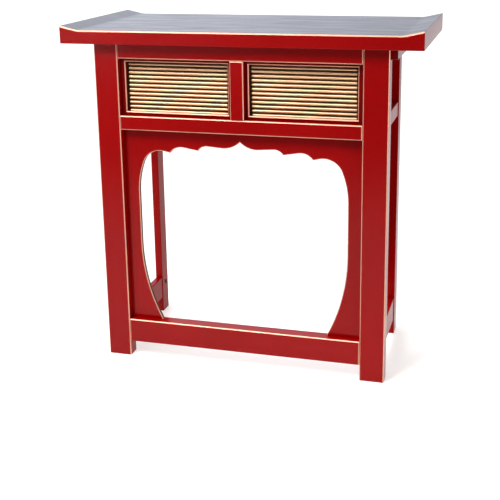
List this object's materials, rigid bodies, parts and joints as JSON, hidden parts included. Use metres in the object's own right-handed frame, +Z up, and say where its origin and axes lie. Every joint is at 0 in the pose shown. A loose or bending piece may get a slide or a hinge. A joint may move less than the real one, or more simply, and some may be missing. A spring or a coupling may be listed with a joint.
{
  "type": "folding incense table",
  "caption": "Lacquered altar table with upturned top, gilt edges, louvred frieze and cusped arch; hinged side frames fold flat behind the front and the top lifts off",
  "frame": {"origin": "on the floor under the middle of the top board", "axes": "+X along the front to the right, +Y from front to back, +Z up"},
  "size_m": [0.767, 0.374, 0.75],
  "materials": {
    "vermilion_lacquer": "gloss vermilion lacquer with gilt chamfers",
    "black_lacquer": "gloss black lacquer on the upper face, vermilion edges, gilt front chamfer",
    "gold_lacquer": "satin gold lacquer",
    "dark_lacquer": "dark lacquer in shadow behind the slats",
    "hinge_brass": "plain brass butt hinge",
    "screw_brass": "countersunk brass screw",
    "black_rubber": "matt black rubber"
  },
  "bodies": {
    "front_frame": {"arch_panel": "vermilion_lacquer", "bottom_stretcher": "vermilion_lacquer", "centre_stile": "vermilion_lacquer", "front_leg_left": "vermilion_lacquer", "front_leg_right": "vermilion_lacquer", "hinge_leaf_front_lower_left": "hinge_brass", "hinge_leaf_front_lower_right": "hinge_brass", "hinge_leaf_front_upper_left": "hinge_brass", "hinge_leaf_front_upper_right": "hinge_brass", "hinge_pin_lower_left": "hinge_brass", "hinge_pin_lower_right": "hinge_brass", "hinge_pin_upper_left": "hinge_brass", "hinge_pin_upper_right": "hinge_brass", "louvre_backing_left": "dark_lacquer", "louvre_backing_right": "dark_lacquer", "louvre_bead_left": "gold_lacquer", "louvre_bead_right": "gold_lacquer", "louvre_frame_left": "vermilion_lacquer", "louvre_frame_right": "vermilion_lacquer", "louvre_slats_left": "gold_lacquer", "louvre_slats_right": "gold_lacquer", "lower_rail": "vermilion_lacquer", "top_rail": "vermilion_lacquer"},
    "side_frame_left": {"back_leg_left": "vermilion_lacquer", "bumper_left": "black_rubber", "hinge_leaf_side_lower_left": "hinge_brass", "hinge_leaf_side_upper_left": "hinge_brass", "side_bottom_rail_left": "vermilion_lacquer", "side_middle_rail_left": "vermilion_lacquer", "side_stile_left": "vermilion_lacquer", "side_top_rail_left": "vermilion_lacquer"},
    "side_frame_right": {"back_leg_right": "vermilion_lacquer", "bumper_right": "black_rubber", "hinge_leaf_side_lower_right": "hinge_brass", "hinge_leaf_side_upper_right": "hinge_brass", "side_bottom_rail_right": "vermilion_lacquer", "side_middle_rail_right": "vermilion_lacquer", "side_stile_right": "vermilion_lacquer", "side_top_rail_right": "vermilion_lacquer"},
    "table_top": {"top_board": "black_lacquer", "top_cleat_left": "vermilion_lacquer", "top_cleat_right": "vermilion_lacquer"}
  },
  "joints": [
    {"name": "side_fold_left", "type": "hinge", "parent": "front_frame", "child": "side_frame_left", "pos_m": [-0.2797, -0.1352, 0], "axis": [0, 0, -1], "range_deg": [0, 90]},
    {"name": "side_fold_right", "type": "hinge", "parent": "front_frame", "child": "side_frame_right", "pos_m": [0.2797, -0.1352, 0], "axis": [0, 0, 1], "range_deg": [0, 90]},
    {"name": "top_lift", "type": "slide", "parent": "front_frame", "child": "table_top", "axis": [0, 0, 1], "range_m": [0, 0.12]}
  ]
}
